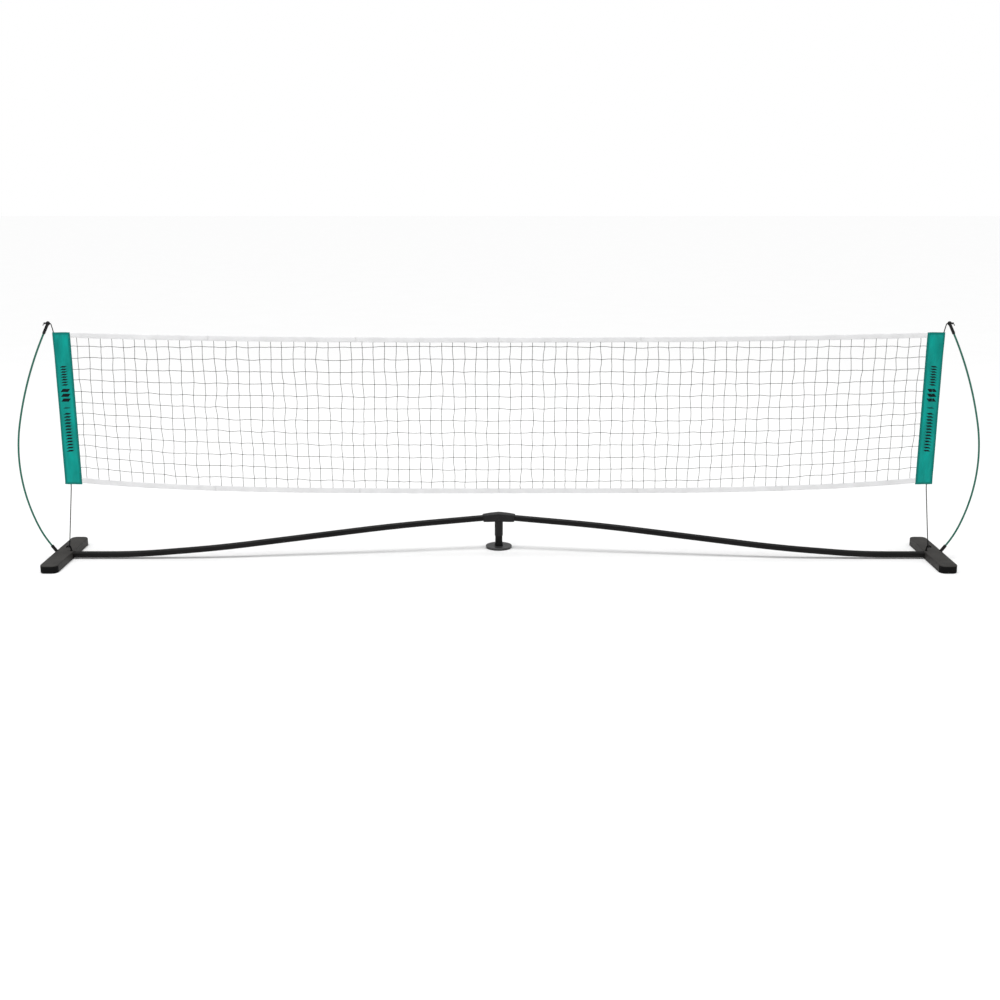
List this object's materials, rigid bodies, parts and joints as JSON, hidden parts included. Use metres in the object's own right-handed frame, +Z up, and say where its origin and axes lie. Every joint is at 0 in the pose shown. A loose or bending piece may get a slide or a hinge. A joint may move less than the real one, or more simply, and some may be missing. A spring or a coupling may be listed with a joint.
{
  "type": "portable pickleball net",
  "caption": "Portable low court net on a plug-together tube rail, held up by bent bow rods in long feet at each end.",
  "frame": {"origin": "on the floor, under the middle of the object's box", "axes": "+X along the net to its right end, +Y away from the player, to the side of the centre post, +Z up"},
  "size_m": [3.8226, 0.434, 0.9574],
  "materials": {
    "tube_black": "satin",
    "hub_black": "satin",
    "foot_grey": "matte",
    "black_rubber": "matte",
    "black_plastic": "satin",
    "hook_steel": "satin",
    "screw_steel": "satin",
    "rod_teal": "gloss",
    "sleeve_teal": "satin",
    "tape_white": "matte",
    "mesh_grey": "matte",
    "cord_grey": "matte"
  },
  "bodies": {
    "post": {"post_tube": "tube_black", "post_collar": "black_plastic", "post_plug": "black_plastic"},
    "disc": {"disc": "hub_black", "disc_stud": "screw_steel", "disc_pad": "black_rubber"},
    "hub": {"hub_upper_shell": "hub_black", "hub_lower_shell": "hub_black", "hub_screws": "screw_steel", "top_tape": "tape_white", "bottom_tape": "tape_white", "net_mesh": "mesh_grey"},
    "left_inner_rail": {"left_inner_rail": "tube_black"},
    "left_outer_rail": {"left_outer_rail": "tube_black"},
    "left_foot": {"left_foot_shell": "foot_grey", "left_foot_sole": "black_rubber", "left_foot_screws": "screw_steel", "left_toe_cap": "black_rubber", "left_heel_cap": "black_rubber", "left_rod_socket": "black_plastic", "left_hook": "hook_steel", "left_bowstring": "cord_grey", "left_side_sleeve": "sleeve_teal"},
    "left_rod": {"left_bow_rod": "rod_teal", "left_tip_cap": "black_plastic", "left_cord_end": "cord_grey"},
    "right_inner_rail": {"right_inner_rail": "tube_black"},
    "right_outer_rail": {"right_outer_rail": "tube_black"},
    "right_foot": {"right_foot_shell": "foot_grey", "right_foot_sole": "black_rubber", "right_foot_screws": "screw_steel", "right_toe_cap": "black_rubber", "right_heel_cap": "black_rubber", "right_rod_socket": "black_plastic", "right_hook": "hook_steel", "right_bowstring": "cord_grey", "right_side_sleeve": "sleeve_teal"},
    "right_rod": {"right_bow_rod": "rod_teal", "right_tip_cap": "black_plastic", "right_cord_end": "cord_grey"}
  },
  "joints": [
    {"name": "hub_lift", "type": "slide", "parent": "post", "child": "hub", "axis": [0, 0, 1], "range_m": [0, 0.05]},
    {"name": "disc_turn", "type": "hinge", "parent": "post", "child": "disc", "pos_m": [0, 0.162, 0.01], "axis": [0, 0, 1], "continuous": true},
    {"name": "left_inner_rail_slide", "type": "slide", "parent": "hub", "child": "left_inner_rail", "axis": [-0.9879, -0.1458, -0.0529], "range_m": [0, 0.045]},
    {"name": "left_outer_rail_slide", "type": "slide", "parent": "left_inner_rail", "child": "left_outer_rail", "axis": [-0.9873, -0.1279, -0.0946], "range_m": [0, 0.045]},
    {"name": "left_foot_slide", "type": "slide", "parent": "left_outer_rail", "child": "left_foot", "axis": [-1, 0, 0], "range_m": [0, 0.032]},
    {"name": "left_rod_slide", "type": "slide", "parent": "left_foot", "child": "left_rod", "axis": [-0.5948, 0, 0.8039], "range_m": [0, 0.045]},
    {"name": "right_inner_rail_slide", "type": "slide", "parent": "hub", "child": "right_inner_rail", "axis": [0.9879, -0.1458, -0.0529], "range_m": [0, 0.045]},
    {"name": "right_outer_rail_slide", "type": "slide", "parent": "right_inner_rail", "child": "right_outer_rail", "axis": [0.9873, -0.1279, -0.0946], "range_m": [0, 0.045]},
    {"name": "right_foot_slide", "type": "slide", "parent": "right_outer_rail", "child": "right_foot", "axis": [1, 0, 0], "range_m": [0, 0.032]},
    {"name": "right_rod_slide", "type": "slide", "parent": "right_foot", "child": "right_rod", "axis": [0.5948, 0, 0.8039], "range_m": [0, 0.045]}
  ]
}
